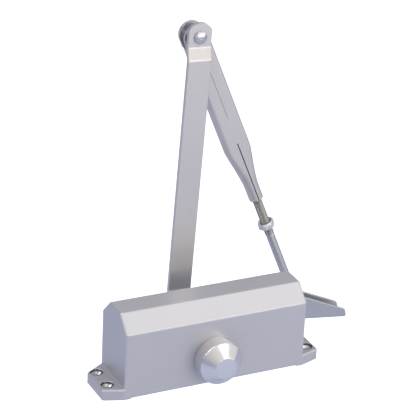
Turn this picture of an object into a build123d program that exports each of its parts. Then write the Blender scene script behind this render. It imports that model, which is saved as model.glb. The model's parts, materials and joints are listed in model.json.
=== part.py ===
from build123d import *
import math
import os

# A surface-mounted rack-and-pinion door closer with its two-piece arm, lying on its mounting face.
# X runs along the body, +Y points to the side the arm is on, +Z points out of the mounting face.
# The origin is the middle of the four fixing holes, on the mounting plane. Millimetres throughout.

# Body: one casting with a chamfered section and a drilled ear at each end.
BODY_LENGTH = 139.3
BODY_WIDTH = 41.5
BODY_TOP = 61.8
PAD_HEIGHT = 0.8
PAD_REACH = 5.0
BODY_CHAMFER = 11.6
BODY_EDGE = 1.0
EAR_LENGTH = 14.5
EAR_TOP = 7.9
EAR_REAR_CUT = 9.0
EAR_FRONT_CUT = 4.9
EAR_CORNER = 2.0
EAR_EDGE = 0.8
HOLE_SPACING_X = 156.0
HOLE_SPACING_Y = 19.0
HOLE_RADIUS = 2.75
HOLE_MOUTH_RADIUS = 4.6
HOLE_MOUTH_DEPTH = 1.5

# Cylinder bore along X, blind at the left, closed by a plug at the right.
BORE_RADIUS = 16.0
BORE_Z = 28.8
BORE_LEFT = -58.0
PLUG_RADIUS = 17.2
PLUG_LEFT = 57.0
PLUG_SOCKET_FLATS = 12.0
PLUG_SOCKET_DEPTH = 6.0
PLUG_RING_X = 60.0
SECTION_OF_RING = 1.2
BODY_RIGHT = BODY_LENGTH / 2

# Pinion: one shaft with teeth in the middle and a square at each end.
PINION_X = -1.25
PINION_Z = 20.5
MODULE = 1.5
TEETH = 11
PRESSURE_ANGLE = math.radians(25.0)
BACKLASH = 0.2
PITCH_RADIUS = MODULE * TEETH / 2
TIP_RADIUS = PITCH_RADIUS + MODULE
RACK_ADDENDUM = 1.1
ROOT_RADIUS = 6.9
TEETH_HALF_LENGTH = 9.0
FLANK_STEPS = 6
JOURNAL_RADIUS = 6.8
SQUARE_SIDE = 9.4
SQUARE_SLACK = 0.1
CROSS_BORE_RADIUS = 10.2
BEARING_CLEARANCE = 0.03
BEARING_INNER_Y = 16.05
BEARING_OUTER_Y = 19.65
FACE_Y = BODY_WIDTH / 2
RETAINER_RADIUS = 13.5
RETAINER_HEIGHT = 4.0
RETAINER_BORE = 7.3
SEAL_RADIUS = 9.0
SEAL_INNER_Y = 20.1
SEAL_OUTER_Y = 23.1
SPINDLE_FRONT_END = 30.0
CAP_RADIUS = 16.0
CAP_RIM = 10.7
CAP_CONE = 7.5
CAP_TIP_RADIUS = 8.2
CAP_DEPTH = 10.5
CAP_EDGE = 0.5

# Piston with a rack over the pinion.
PISTON_RADIUS = 15.95
PISTON_LEFT = -41.0
PISTON_RIGHT = 22.0
TRAVEL = 17.3
WINDOW_MARGIN = 11.3
RACK_DEDENDUM = 1.9
RACK_HALF_WIDTH = 8.0
RACK_PITCH_Z = PINION_Z + PITCH_RADIUS
RACK_PITCH = math.pi * MODULE
RACK_FIRST = -6
RACK_LAST = 2
PISTON_SEAL_X = -37.0
PISTON_SEAL_WIDTH = 2.4
PISTON_SEAL_DEPTH = 1.8
SEAL_CLEARANCE = 0.02
CHECK_Y = 0.0
CHECK_Z = 38.0
CHECK_HOLE_RADIUS = 1.3
CHECK_POCKET_RADIUS = 2.2
CHECK_POCKET_DEPTH = 5.0
CHECK_BALL_RADIUS = 1.9
CHECK_SEAT_LENGTH = 1.5

# Closing spring between the piston and the end plug.
SPRING_RADIUS = 12.3
SPRING_WIRE = 1.6
SPRING_TURNS = 4.5
SPRING_SEAT_LENGTH = 2.0

# Speed valves in the right end face.
VALVE_Y = 9.0
VALVE_Z = 52.0
VALVE_RADIUS = 3.2
VALVE_CLEARANCE = 0.05
VALVE_LEFT = 47.0
VALVE_RIGHT = 67.5
VALVE_RING_X = 62.0
VALVE_RING_WIDTH = 1.6
VALVE_GROOVE_RADIUS = 2.1
VALVE_SLOT_WIDTH = 1.0
VALVE_SLOT_DEPTH = 1.6
PASSAGE_RADIUS = 1.5
PASSAGE_LEFT = -52.0
PORT_XS = (-50.0, 42.0)
PORT_RADIUS = 1.2

# Main arm: a flat bar, cranked at the pinion and slightly set back at the elbow.
ARM_LEAN = 2.63
ARM_LENGTH = 213.6
ARM_WIDTH = 17.7
ARM_THICKNESS = 3.2
ARM_EYE_Y = 29.85
ARM_BAR_Y = 41.85
ARM_ELBOW_Y = 44.85
ARM_END_RADIUS = 10.3
CRANK_FROM = 11.5
CRANK_TO = 23.0
JOGGLE_FROM = 197.8
JOGGLE_TO = 206.4
BEND_RADIUS = 4.0
ARM_EDGE = 0.5
WASHER_RADIUS = 7.5
WASHER_THICKNESS = 1.2
SCREW_RADIUS = 3.0
SCREW_LENGTH = 14.0
SCREW_HEAD_FLATS = 10.0
SCREW_HEAD_HEIGHT = 4.0
SCREW_GAP = 0.3

# Elbow.
ELBOW_X = PINION_X + ARM_LENGTH * math.sin(math.radians(ARM_LEAN))
ELBOW_Z = PINION_Z + ARM_LENGTH * math.cos(math.radians(ARM_LEAN))
RIVET_RADIUS = 3.5
RIVET_HEAD_RADIUS = 4.8
RIVET_HEAD_HEIGHT = 2.0
RIVET_HEAD_RIM = 1.0
RIVET_TAIL_HEIGHT = 1.5
RIVET_DIMPLE_RADIUS = 0.8
BUSH_RADIUS = 6.0
TURN_CLEARANCE = 0.05
FACE_GAP = 0.1

# Forearm: sheet folded to a flat box, drawn down to a tube that holds the rod.
FOREARM_SLOPE = 23.1
FOREARM_WIDTH = 18.6
FOREARM_DEPTH = 10.75
FOREARM_NEAR_Y = 52.6
FOREARM_MID_Y = FOREARM_NEAR_Y + FOREARM_DEPTH / 2
SHEET = 2.2
BOX_FROM = 9.5
BOX_TO = 102.0
TUBE_TO = 147.0
NECK = (
    (102.0, 10.75, 18.6, 2.5),
    (112.0, 10.6, 16.0, 3.5),
    (124.0, 10.5, 12.6, 4.6),
    (137.0, 10.4, 10.4, 4.9),
)
INNER_CORNER = 0.9
THREAD_BORE = 3.45
THREAD_FROM = 108.0
FOREARM_EAR_SETBACK = 3.1
SEAM_FROM = 12.0
SEAM_TO = 73.0
SEAM_WIDTH = 0.2
SLIT_FROM = 95.0
SLIT_WIDTH = 0.7

# Adjusting rod with its eye, and lock nut.
ROD_RADIUS = 3.4
ROD_FROM = 120.0
ROD_REACH = 248.0
ROD_THREAD_TO = 181.0
ROD_SHANK_RADIUS = 3.2
EYE_RADIUS = 6.6
EYE_WIDTH = 9.4
NUT_FROM = 168.9
NUT_HEIGHT = 5.2
NUT_FLATS = 11.0
NUT_CHAMFER = 0.9

# Shoe: a folded channel with a pin for the rod's eye.
SHOE_SLOPE = 7.4
SHOE_X = ELBOW_X + ROD_REACH * math.sin(math.radians(FOREARM_SLOPE))
SHOE_Z = ELBOW_Z - ROD_REACH * math.cos(math.radians(FOREARM_SLOPE))
SHOE_GAP = 11.0
SHOE_SHEET = 2.0
SHOE_BASE = 11.0
SHOE_LEFT = -24.0
SHOE_RIGHT = 41.3
SHOE_WALL_RADIUS = 7.7
SHOE_TIP_HEIGHT = 6.8
SHOE_TIP_RUN = 39.4
SHOE_FOLD = 1.6
SHOE_HOLES = (-17.0, 25.0)
SHOE_HOLE_RADIUS = 2.6
SHOE_TIP_RADIUS = 3.0
PIN_RADIUS = 3.0
PIN_HEAD_RADIUS = 4.6
PIN_HEAD_HEIGHT = 1.2
THRUST_WASHER = 0.7

ARM_PLACE = Pos(PINION_X, 0, PINION_Z) * Rot(0, ARM_LEAN, 0)
FOREARM_PLACE = Pos(ELBOW_X, 0, ELBOW_Z) * Rot(0, 90 - FOREARM_SLOPE, 0)
SHOE_PLACE = Pos(SHOE_X, 0, SHOE_Z) * Rot(0, SHOE_SLOPE, 0)


def across(sketch, y_from, y_to):
    """Extrude an outline drawn in X and Z between two Y values."""
    return extrude(Plane.XZ.offset(-y_to) * sketch, y_to - y_from)


def along(sketch, x_from, x_to):
    """Extrude an outline drawn in Y and Z between two X values."""
    return extrude(Plane.YZ.offset(x_from) * sketch, x_to - x_from)


def hexagon(flats):
    return RegularPolygon(radius=flats / math.sqrt(3), side_count=6)


def body_section(bottom):
    """Cross-section of the body: a tall box with both top edges cut at 45 degrees."""
    half = BODY_WIDTH / 2
    shoulder = BODY_TOP - BODY_CHAMFER
    outline = Polyline(
        (-half, bottom),
        (half, bottom),
        (half, shoulder),
        (half - BODY_CHAMFER, BODY_TOP),
        (BODY_CHAMFER - half, BODY_TOP),
        (-half, shoulder),
        close=True,
    )
    return make_face(outline)


def body_ears():
    """Mounting ears: a plate under the whole body, narrowed towards each end."""
    half = BODY_WIDTH / 2
    tip = BODY_RIGHT + EAR_LENGTH
    outline = Polyline(
        (-tip, EAR_FRONT_CUT - half),
        (-BODY_RIGHT, -half),
        (BODY_RIGHT, -half),
        (tip, EAR_FRONT_CUT - half),
        (tip, half - EAR_REAR_CUT),
        (BODY_RIGHT, half),
        (-BODY_RIGHT, half),
        (-tip, half - EAR_REAR_CUT),
        close=True,
    )
    plate = extrude(make_face(outline), EAR_TOP)
    plate = fillet(plate.edges().filter_by(Axis.Z), EAR_CORNER)
    plate = fillet(plate.edges().group_by(Axis.Z)[-1], EAR_EDGE)
    relief_length = BODY_LENGTH - 2 * PAD_REACH
    relief = Box(relief_length, BODY_WIDTH, PAD_HEIGHT, align=(Align.CENTER, Align.CENTER, Align.MIN))
    return plate - relief


def fixing_hole():
    """A countersunk hole with a short straight mouth."""
    cone_depth = HOLE_MOUTH_RADIUS - HOLE_RADIUS
    cone_bottom = EAR_TOP - HOLE_MOUTH_DEPTH - cone_depth
    low = (Align.CENTER, Align.CENTER, Align.MIN)
    shank = Cylinder(HOLE_RADIUS, EAR_TOP, align=low)
    cone = Pos(0, 0, cone_bottom) * Cone(HOLE_RADIUS, HOLE_MOUTH_RADIUS, cone_depth, align=low)
    mouth = Pos(0, 0, EAR_TOP - HOLE_MOUTH_DEPTH) * Cylinder(HOLE_MOUTH_RADIUS, HOLE_MOUTH_DEPTH, align=low)
    return shank + cone + mouth


def oil_passages():
    """Valve bores from the right end face, each with a narrow passage and two ports to the cylinder."""
    cuts = []
    for y in (-VALVE_Y, VALVE_Y):
        cuts.append(along(Pos(y, VALVE_Z) * Circle(VALVE_RADIUS), VALVE_LEFT, BODY_RIGHT))
        cuts.append(along(Pos(y, VALVE_Z) * Circle(PASSAGE_RADIUS), PASSAGE_LEFT, VALVE_LEFT))
        for x in PORT_XS:
            port = extrude(Pos(x, y, BORE_Z) * Circle(PORT_RADIUS), VALVE_Z - BORE_Z)
            cuts.append(port)
    return cuts


def body_casting():
    block = along(body_section(PAD_HEIGHT), -BODY_RIGHT, BODY_RIGHT)
    block = fillet([edge for edge in block.edges() if edge.center().Z > EAR_TOP], BODY_EDGE)
    body = block + body_ears()
    bore = along(Pos(0, BORE_Z) * Circle(BORE_RADIUS), BORE_LEFT, PLUG_LEFT)
    plug_bore = along(Pos(0, BORE_Z) * Circle(PLUG_RADIUS), PLUG_LEFT, BODY_RIGHT)
    cross = across(Pos(PINION_X, PINION_Z) * Circle(CROSS_BORE_RADIUS), -BODY_WIDTH, BODY_WIDTH)
    body -= [bore, plug_bore, cross]
    body -= oil_passages()
    for x in (-HOLE_SPACING_X / 2, HOLE_SPACING_X / 2):
        for y in (-HOLE_SPACING_Y / 2, HOLE_SPACING_Y / 2):
            body -= Pos(x, y, 0) * fixing_hole()
    return body


def pinion_disc(radius, y_from, y_to):
    return across(Pos(PINION_X, PINION_Z) * Circle(radius), y_from, y_to)


def mirrored_span(side, inner, outer):
    """Y limits of a piece that sits at the same distance on either side of the middle plane."""
    return (inner, outer) if side > 0 else (-outer, -inner)


def bearing(side):
    low, high = mirrored_span(side, BEARING_INNER_Y, BEARING_OUTER_Y)
    hole = pinion_disc(JOURNAL_RADIUS + BEARING_CLEARANCE, low, high)
    return pinion_disc(CROSS_BORE_RADIUS, low, high) - hole


def retainer(side):
    """Flanged ring that closes the cross bore and holds the shaft seal in a groove."""
    spigot = pinion_disc(CROSS_BORE_RADIUS, *mirrored_span(side, BEARING_OUTER_Y, FACE_Y))
    flange = pinion_disc(RETAINER_RADIUS, *mirrored_span(side, FACE_Y, FACE_Y + RETAINER_HEIGHT))
    hole = pinion_disc(RETAINER_BORE, -BODY_WIDTH, BODY_WIDTH)
    groove = pinion_disc(SEAL_RADIUS, *mirrored_span(side, SEAL_INNER_Y, SEAL_OUTER_Y))
    return spigot + flange - hole - groove


def shaft_seal(side):
    low, high = mirrored_span(side, SEAL_INNER_Y, SEAL_OUTER_Y)
    return pinion_disc(SEAL_RADIUS, low, high) - pinion_disc(JOURNAL_RADIUS + SEAL_CLEARANCE, low, high)


def involute(radius, base):
    angle = math.acos(base / radius)
    return math.tan(angle) - angle


def tooth_outline():
    """One tooth pointing up: involute flanks from the base circle to the tip, closed inside the root."""
    base = PITCH_RADIUS * math.cos(PRESSURE_ANGLE)
    at_pitch = math.pi / (2 * TEETH) - BACKLASH / (2 * PITCH_RADIUS)
    flank = []
    for step in range(FLANK_STEPS + 1):
        radius = base + (TIP_RADIUS - base) * step / FLANK_STEPS
        half = at_pitch + involute(PITCH_RADIUS, base) - involute(radius, base)
        flank.append((radius * math.sin(half), radius * math.cos(half)))
    foot = at_pitch + involute(PITCH_RADIUS, base)
    inside = ROOT_RADIUS - MODULE / 2
    flank.insert(0, (inside * math.sin(foot), inside * math.cos(foot)))
    other = [(-x, z) for x, z in reversed(flank)]
    return make_face(Polyline(*flank, *other, close=True))


def pinion_shaft():
    teeth = Circle(ROOT_RADIUS)
    for number in range(TEETH):
        teeth += Rot(0, 0, 360 * number / TEETH) * tooth_outline()
    place = Pos(PINION_X, PINION_Z)
    gear = across(place * teeth, -TEETH_HALF_LENGTH, TEETH_HALF_LENGTH)
    journal_front = -(FACE_Y + RETAINER_HEIGHT)
    shaft = pinion_disc(JOURNAL_RADIUS, journal_front, ARM_EYE_Y)
    square = place * Rot(0, 0, -ARM_LEAN) * Rectangle(SQUARE_SIDE, SQUARE_SIDE)
    rear_end = ARM_EYE_Y + ARM_THICKNESS - SCREW_GAP
    squares = across(square, -SPINDLE_FRONT_END, rear_end)
    tapped = pinion_disc(SCREW_RADIUS, rear_end - SCREW_LENGTH - SCREW_GAP, rear_end)
    return gear + shaft + squares - tapped


def pinion_cap():
    """Turned cap: a straight rim, then a cone to a small flat, hollow over the spindle end."""
    outline = make_face(
        Polyline(
            (0, 0),
            (CAP_RADIUS - CAP_EDGE, 0),
            (CAP_RADIUS, CAP_EDGE),
            (CAP_RADIUS, CAP_RIM - CAP_EDGE),
            (CAP_RADIUS - CAP_EDGE, CAP_RIM),
            (CAP_TIP_RADIUS, CAP_RIM + CAP_CONE),
            (0, CAP_RIM + CAP_CONE),
            close=True,
        )
    )
    solid = revolve(Plane.XZ * outline, Axis.Z)
    low = (Align.CENTER, Align.CENTER, Align.MIN)
    hollow = Cylinder(RETAINER_RADIUS, CAP_DEPTH, align=low)
    return Pos(PINION_X, -FACE_Y, PINION_Z) * Rot(90, 0, 0) * (solid - hollow)


def bore_disc(radius, x_from, x_to):
    return along(Pos(0, BORE_Z) * Circle(radius), x_from, x_to)


def rack_teeth():
    """Straight-sided rack teeth hanging down over the pinion, one gap straight above its axis."""
    root_half = RACK_PITCH / 4 + RACK_DEDENDUM * math.tan(PRESSURE_ANGLE)
    tip_half = RACK_PITCH / 4 - RACK_ADDENDUM * math.tan(PRESSURE_ANGLE)
    root_z = RACK_PITCH_Z + RACK_DEDENDUM
    tip_z = RACK_PITCH_Z - RACK_ADDENDUM
    teeth = []
    for number in range(RACK_FIRST, RACK_LAST):
        x = PINION_X + RACK_PITCH * (number + 1 / 2)
        outline = Polyline(
            (x - root_half, root_z + 1),
            (x - root_half, root_z),
            (x - tip_half, tip_z),
            (x + tip_half, tip_z),
            (x + root_half, root_z),
            (x + root_half, root_z + 1),
            close=True,
        )
        teeth.append(across(make_face(outline), -RACK_HALF_WIDTH, RACK_HALF_WIDTH))
    return teeth


def piston():
    """Piston with a window for the pinion and a rack along the window's roof."""
    blank = bore_disc(PISTON_RADIUS, PISTON_LEFT, PISTON_RIGHT)
    left = PINION_X - TRAVEL - WINDOW_MARGIN
    right = PINION_X + WINDOW_MARGIN
    roof = RACK_PITCH_Z + RACK_DEDENDUM
    corner = (Align.MIN, Align.CENTER, Align.MAX)
    window = Pos(left, 0, roof) * Box(right - left, BODY_WIDTH, BODY_TOP, align=corner)
    groove_from = PISTON_SEAL_X - PISTON_SEAL_WIDTH / 2
    groove_to = PISTON_SEAL_X + PISTON_SEAL_WIDTH / 2
    groove = bore_disc(BORE_RADIUS, groove_from, groove_to) - bore_disc(
        PISTON_RADIUS - PISTON_SEAL_DEPTH, groove_from, groove_to
    )
    valve_hole = along(Pos(CHECK_Y, CHECK_Z) * Circle(CHECK_HOLE_RADIUS), PISTON_LEFT, PISTON_RIGHT)
    pocket_to = PISTON_LEFT + CHECK_POCKET_DEPTH + CHECK_SEAT_LENGTH
    pocket = along(Pos(CHECK_Y, CHECK_Z) * Circle(CHECK_POCKET_RADIUS), PISTON_LEFT, pocket_to)
    body = blank - window
    body += rack_teeth()
    return body - [groove, valve_hole, pocket]


def piston_seal():
    low = PISTON_SEAL_X - PISTON_SEAL_WIDTH / 2
    high = PISTON_SEAL_X + PISTON_SEAL_WIDTH / 2
    outer = bore_disc(BORE_RADIUS - SEAL_CLEARANCE, low, high)
    return outer - bore_disc(PISTON_RADIUS - PISTON_SEAL_DEPTH, low, high)


def check_seat():
    ring = Pos(CHECK_Y, CHECK_Z) * (Circle(CHECK_POCKET_RADIUS) - Circle(CHECK_HOLE_RADIUS))
    return along(ring, PISTON_LEFT, PISTON_LEFT + CHECK_SEAT_LENGTH)


def check_ball():
    middle = PISTON_LEFT + CHECK_SEAT_LENGTH + CHECK_POCKET_DEPTH / 2
    return Pos(middle, CHECK_Y, CHECK_Z) * Sphere(CHECK_BALL_RADIUS)


def spring_seat():
    ring = Pos(0, BORE_Z) * (Circle(PISTON_RADIUS) - Circle(SPRING_RADIUS - 2 * SPRING_WIRE))
    return along(ring, PLUG_LEFT - SPRING_SEAT_LENGTH, PLUG_LEFT)


def closing_spring():
    start = PISTON_RIGHT + SPRING_WIRE
    height = PLUG_LEFT - SPRING_SEAT_LENGTH - SPRING_WIRE - start
    path = Helix(height / SPRING_TURNS, height, SPRING_RADIUS, center=(start, 0, BORE_Z), direction=(1, 0, 0))
    section = Plane(origin=path @ 0, z_dir=path % 0) * Circle(SPRING_WIRE)
    return sweep(section, path, is_frenet=True)


def end_plug():
    """Threaded plug with a hexagon socket and a groove for its sealing ring."""
    blank = bore_disc(PLUG_RADIUS, PLUG_LEFT, BODY_RIGHT)
    socket = along(Pos(0, BORE_Z) * hexagon(PLUG_SOCKET_FLATS), BODY_RIGHT - PLUG_SOCKET_DEPTH, BODY_RIGHT)
    low = PLUG_RING_X - SECTION_OF_RING
    high = PLUG_RING_X + SECTION_OF_RING
    groove = bore_disc(PLUG_RADIUS, low, high) - bore_disc(PLUG_RADIUS - 2 * SECTION_OF_RING, low, high)
    return blank - [socket, groove]


def plug_ring():
    ring = Torus(PLUG_RADIUS - SECTION_OF_RING, SECTION_OF_RING)
    return Pos(PLUG_RING_X, 0, BORE_Z) * Rot(0, 90, 0) * ring


def valve_disc(y, radius, x_from, x_to):
    return along(Pos(y, VALVE_Z) * Circle(radius), x_from, x_to)


def speed_valve(y):
    """Needle screw with a slotted head, a ring groove and a pointed tip."""
    radius = VALVE_RADIUS - VALVE_CLEARANCE
    tip_from = VALVE_LEFT + radius
    shank = valve_disc(y, radius, tip_from, VALVE_RIGHT)
    place = Pos(VALVE_LEFT, y, VALVE_Z) * Rot(0, 90, 0)
    tip = place * Cone(PASSAGE_RADIUS / 2, radius, radius, align=(Align.CENTER, Align.CENTER, Align.MIN))
    low = VALVE_RING_X - VALVE_RING_WIDTH / 2
    high = VALVE_RING_X + VALVE_RING_WIDTH / 2
    groove = valve_disc(y, radius, low, high) - valve_disc(y, VALVE_GROOVE_RADIUS, low, high)
    slot = Pos(VALVE_RIGHT, y, VALVE_Z) * Box(2 * VALVE_SLOT_DEPTH, VALVE_SLOT_WIDTH, 2 * VALVE_RADIUS)
    return shank + tip - groove - slot


def valve_ring(y):
    low = VALVE_RING_X - VALVE_RING_WIDTH / 2
    high = VALVE_RING_X + VALVE_RING_WIDTH / 2
    outer = valve_disc(y, VALVE_RADIUS - SEAL_CLEARANCE, low, high)
    return outer - valve_disc(y, VALVE_GROOVE_RADIUS, low, high)


def arm_profile():
    """Side view of the bar in Y and Z: near face up, then the far face back down."""
    crank = math.atan2(ARM_BAR_Y - ARM_EYE_Y, CRANK_TO - CRANK_FROM)
    joggle = math.atan2(ARM_ELBOW_Y - ARM_BAR_Y, JOGGLE_TO - JOGGLE_FROM)
    bends = (
        (ARM_EYE_Y, CRANK_FROM, crank),
        (ARM_BAR_Y, CRANK_TO, crank),
        (ARM_BAR_Y, JOGGLE_FROM, joggle),
        (ARM_ELBOW_Y, JOGGLE_TO, joggle),
    )
    near = [(y, z) for y, z, angle in bends]
    far = [(y + ARM_THICKNESS, z - ARM_THICKNESS * math.tan(angle / 2)) for y, z, angle in bends]
    low = -ARM_END_RADIUS
    high = ARM_LENGTH + ARM_END_RADIUS
    ends = [(ARM_ELBOW_Y, high), (ARM_ELBOW_Y + ARM_THICKNESS, high)]
    feet = [(ARM_EYE_Y + ARM_THICKNESS, low), (ARM_EYE_Y, low)]
    face = make_face(Polyline(*near, *ends, *reversed(far), *feet, close=True))
    corners = [vertex for vertex in face.vertices() if low < vertex.Y < high]
    return fillet(corners, BEND_RADIUS)


def arm_outline():
    """Front view of the bar: parallel sides, each end a flat arc about its own pivot."""
    bar = Pos(0, ARM_LENGTH / 2) * Rectangle(ARM_WIDTH, ARM_LENGTH + 2 * ARM_END_RADIUS)
    reach = Circle(ARM_END_RADIUS) + Pos(0, ARM_LENGTH) * Circle(ARM_END_RADIUS)
    middle = Pos(0, ARM_LENGTH / 2) * Rectangle(ARM_WIDTH, ARM_LENGTH)
    return bar & (reach + middle)


def main_arm():
    bar = along(arm_profile(), -ARM_WIDTH / 2, ARM_WIDTH / 2)
    bar &= across(arm_outline(), 0, ARM_ELBOW_Y + 2 * ARM_THICKNESS)
    bar = fillet([edge for edge in bar.edges() if abs(edge.tangent_at(1 / 2).X) < 1 / 2], ARM_EDGE)
    side = SQUARE_SIDE + 2 * SQUARE_SLACK
    bar -= across(Rectangle(side, side), ARM_EYE_Y, ARM_EYE_Y + ARM_THICKNESS)
    bar -= across(Pos(0, ARM_LENGTH) * Circle(RIVET_RADIUS), ARM_ELBOW_Y, ARM_ELBOW_Y + ARM_THICKNESS)
    return ARM_PLACE * bar


def arm_washer():
    low = ARM_EYE_Y + ARM_THICKNESS
    ring = Circle(WASHER_RADIUS) - Circle(SCREW_RADIUS)
    return ARM_PLACE * across(ring, low, low + WASHER_THICKNESS)


def arm_screw():
    """Hexagon screw that clamps the arm onto the pinion's square."""
    head_from = ARM_EYE_Y + ARM_THICKNESS + WASHER_THICKNESS
    head = across(hexagon(SCREW_HEAD_FLATS), head_from, head_from + SCREW_HEAD_HEIGHT)
    shank = across(Circle(SCREW_RADIUS), ARM_EYE_Y + ARM_THICKNESS - SCREW_LENGTH, head_from)
    return ARM_PLACE * (head + shank)


def elbow_rivet():
    """Rivet turned from one half outline: domed near head with a centre dimple, shank, flat far tail."""
    crown = ARM_ELBOW_Y - RIVET_HEAD_HEIGHT
    rise = RIVET_HEAD_HEIGHT - RIVET_HEAD_RIM
    dome_radius = (RIVET_HEAD_RADIUS**2 + rise**2) / (2 * rise)

    def dome(radius):
        return radius, crown + dome_radius - math.sqrt(dome_radius**2 - radius**2)

    tail_from = FOREARM_NEAR_Y + FOREARM_DEPTH + FACE_GAP
    tail_to = tail_from + RIVET_TAIL_HEIGHT
    head = ThreePointArc(dome(RIVET_DIMPLE_RADIUS), dome(RIVET_RADIUS), dome(RIVET_HEAD_RADIUS))
    rest = Polyline(
        dome(RIVET_HEAD_RADIUS),
        (RIVET_HEAD_RADIUS, ARM_ELBOW_Y),
        (RIVET_RADIUS, ARM_ELBOW_Y),
        (RIVET_RADIUS, tail_from),
        (RIVET_HEAD_RADIUS, tail_from),
        (RIVET_HEAD_RADIUS, tail_to),
        (0, tail_to),
        (0, crown + RIVET_DIMPLE_RADIUS),
        dome(RIVET_DIMPLE_RADIUS),
    )
    rivet = revolve(make_face(head + rest), Axis.Y)
    return ARM_PLACE * Pos(0, 0, ARM_LENGTH) * rivet


def elbow_bush():
    """Spacer between the arm's end and the forearm."""
    ring = Circle(BUSH_RADIUS) - Circle(RIVET_RADIUS)
    low = ARM_ELBOW_Y + ARM_THICKNESS
    return ARM_PLACE * Pos(0, 0, ARM_LENGTH) * across(ring, low, FOREARM_NEAR_Y - FACE_GAP)


def forearm_spacer():
    """Distance sleeve between the forearm's two round ears."""
    ring = Circle(BUSH_RADIUS) - Circle(RIVET_RADIUS + TURN_CLEARANCE)
    low = FOREARM_NEAR_Y + SHEET
    return FOREARM_PLACE * across(ring, low, FOREARM_NEAR_Y + FOREARM_DEPTH - SHEET)


def box_section(depth, width, corner):
    return Pos(FOREARM_MID_Y, 0) * RectangleRounded(depth, width, corner)


def forearm_outer():
    box = along(box_section(FOREARM_DEPTH, FOREARM_WIDTH, NECK[0][3]), BOX_FROM, BOX_TO)
    neck = loft([Plane.YZ.offset(x) * box_section(depth, width, corner) for x, depth, width, corner in NECK])
    tube = along(box_section(*NECK[-1][1:]), NECK[-1][0], TUBE_TO)
    return box + neck + tube


def forearm_inner():
    """The hollow: a flat slot in the box that narrows to the threaded hole in the tube."""
    wall = 2 * SHEET
    depth, width = FOREARM_DEPTH - wall, FOREARM_WIDTH - wall
    box = along(box_section(depth, width, INNER_CORNER), BOX_FROM, BOX_TO)
    sections = []
    for x, outer_depth, outer_width, corner in NECK:
        inner_corner = max(corner - SHEET, INNER_CORNER)
        inner = box_section(outer_depth - wall, outer_width - wall, inner_corner)
        sections.append(Plane.YZ.offset(x) * inner)
    thread = along(Pos(FOREARM_MID_Y, 0) * Circle(THREAD_BORE), THREAD_FROM, TUBE_TO)
    return [box, loft(sections), thread]


def forearm_ear(y_from):
    """Ear around the elbow rivet, one at each side of the fold, its round end struck from below the rivet."""
    run = BOX_FROM - FOREARM_EAR_SETBACK
    plate = Circle(FOREARM_WIDTH / 2) + Pos(run / 2, 0) * Rectangle(run, FOREARM_WIDTH)
    plate = Pos(FOREARM_EAR_SETBACK, 0) * plate
    hole = Circle(RIVET_RADIUS + TURN_CLEARANCE)
    return across(plate - hole, y_from, y_from + SHEET)


def forearm():
    folded = forearm_outer() - forearm_inner()
    folded += forearm_ear(FOREARM_NEAR_Y)
    folded += forearm_ear(FOREARM_NEAR_Y + FOREARM_DEPTH - SHEET)
    folded -= forearm_gap(SEAM_FROM, SEAM_TO, SEAM_WIDTH)
    folded -= forearm_gap(SLIT_FROM, TUBE_TO, SLIT_WIDTH)
    return FOREARM_PLACE * folded


def forearm_gap(x_from, x_to, width):
    """Gap between the sheet's two edges along the middle of the near face."""
    corner = (Align.MIN, Align.MAX, Align.CENTER)
    return Pos(x_from, FOREARM_MID_Y, 0) * Box(x_to - x_from, FOREARM_DEPTH, width, align=corner)


def threaded_rod():
    """Adjusting rod: threaded upper length, plain shank, and an eye for the shoe's pin."""
    middle = Pos(FOREARM_MID_Y, 0)
    thread = along(middle * Circle(ROD_RADIUS), ROD_FROM, ROD_THREAD_TO)
    shank = along(middle * Circle(ROD_SHANK_RADIUS), ROD_THREAD_TO, ROD_REACH)
    eye = Pos(ROD_REACH, 0, 0) * across(Circle(EYE_RADIUS), *eye_span())
    hole = Pos(ROD_REACH, 0, 0) * across(Circle(PIN_RADIUS + TURN_CLEARANCE), *eye_span())
    return FOREARM_PLACE * (thread + shank + eye - hole)


def eye_span():
    return FOREARM_MID_Y - EYE_WIDTH / 2, FOREARM_MID_Y + EYE_WIDTH / 2


def lock_nut():
    """Hexagon nut with both faces chamfered."""
    blank = along(Pos(FOREARM_MID_Y, 0) * hexagon(NUT_FLATS), NUT_FROM, NUT_FROM + NUT_HEIGHT)
    corner = NUT_FLATS / math.sqrt(3)
    half = NUT_HEIGHT / 2
    outline = make_face(
        Polyline(
            (0, -half),
            (corner - NUT_CHAMFER, -half),
            (corner, NUT_CHAMFER / 2 - half),
            (corner, half - NUT_CHAMFER / 2),
            (corner - NUT_CHAMFER, half),
            (0, half),
            close=True,
        )
    )
    barrel = Pos(NUT_FROM + half, FOREARM_MID_Y, 0) * Rot(0, 90, 0) * revolve(Plane.XZ * outline, Axis.Z)
    hole = along(Pos(FOREARM_MID_Y, 0) * Circle(THREAD_BORE), NUT_FROM, NUT_FROM + NUT_HEIGHT)
    return FOREARM_PLACE * ((blank & barrel) - hole)


def shoe_wall_outline():
    """Side wall: round over the pin, sloping down to a low rounded tip, straight along the base."""
    slope = math.atan2(SHOE_WALL_RADIUS + SHOE_BASE - SHOE_TIP_HEIGHT, SHOE_TIP_RUN)
    touch = (SHOE_WALL_RADIUS * math.sin(slope), SHOE_WALL_RADIUS * math.cos(slope))
    start = (-SHOE_WALL_RADIUS, 0)
    arc = ThreePointArc(
        start,
        (-SHOE_WALL_RADIUS / math.sqrt(2), SHOE_WALL_RADIUS / math.sqrt(2)),
        touch,
    )
    rest = Polyline(
        touch,
        (SHOE_TIP_RUN, SHOE_TIP_HEIGHT - SHOE_BASE),
        (SHOE_RIGHT, -SHOE_BASE + SHOE_TIP_RADIUS),
        (SHOE_RIGHT, -SHOE_BASE),
        (-SHOE_WALL_RADIUS, -SHOE_BASE),
        start,
    )
    return make_face(arc + rest)


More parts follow.
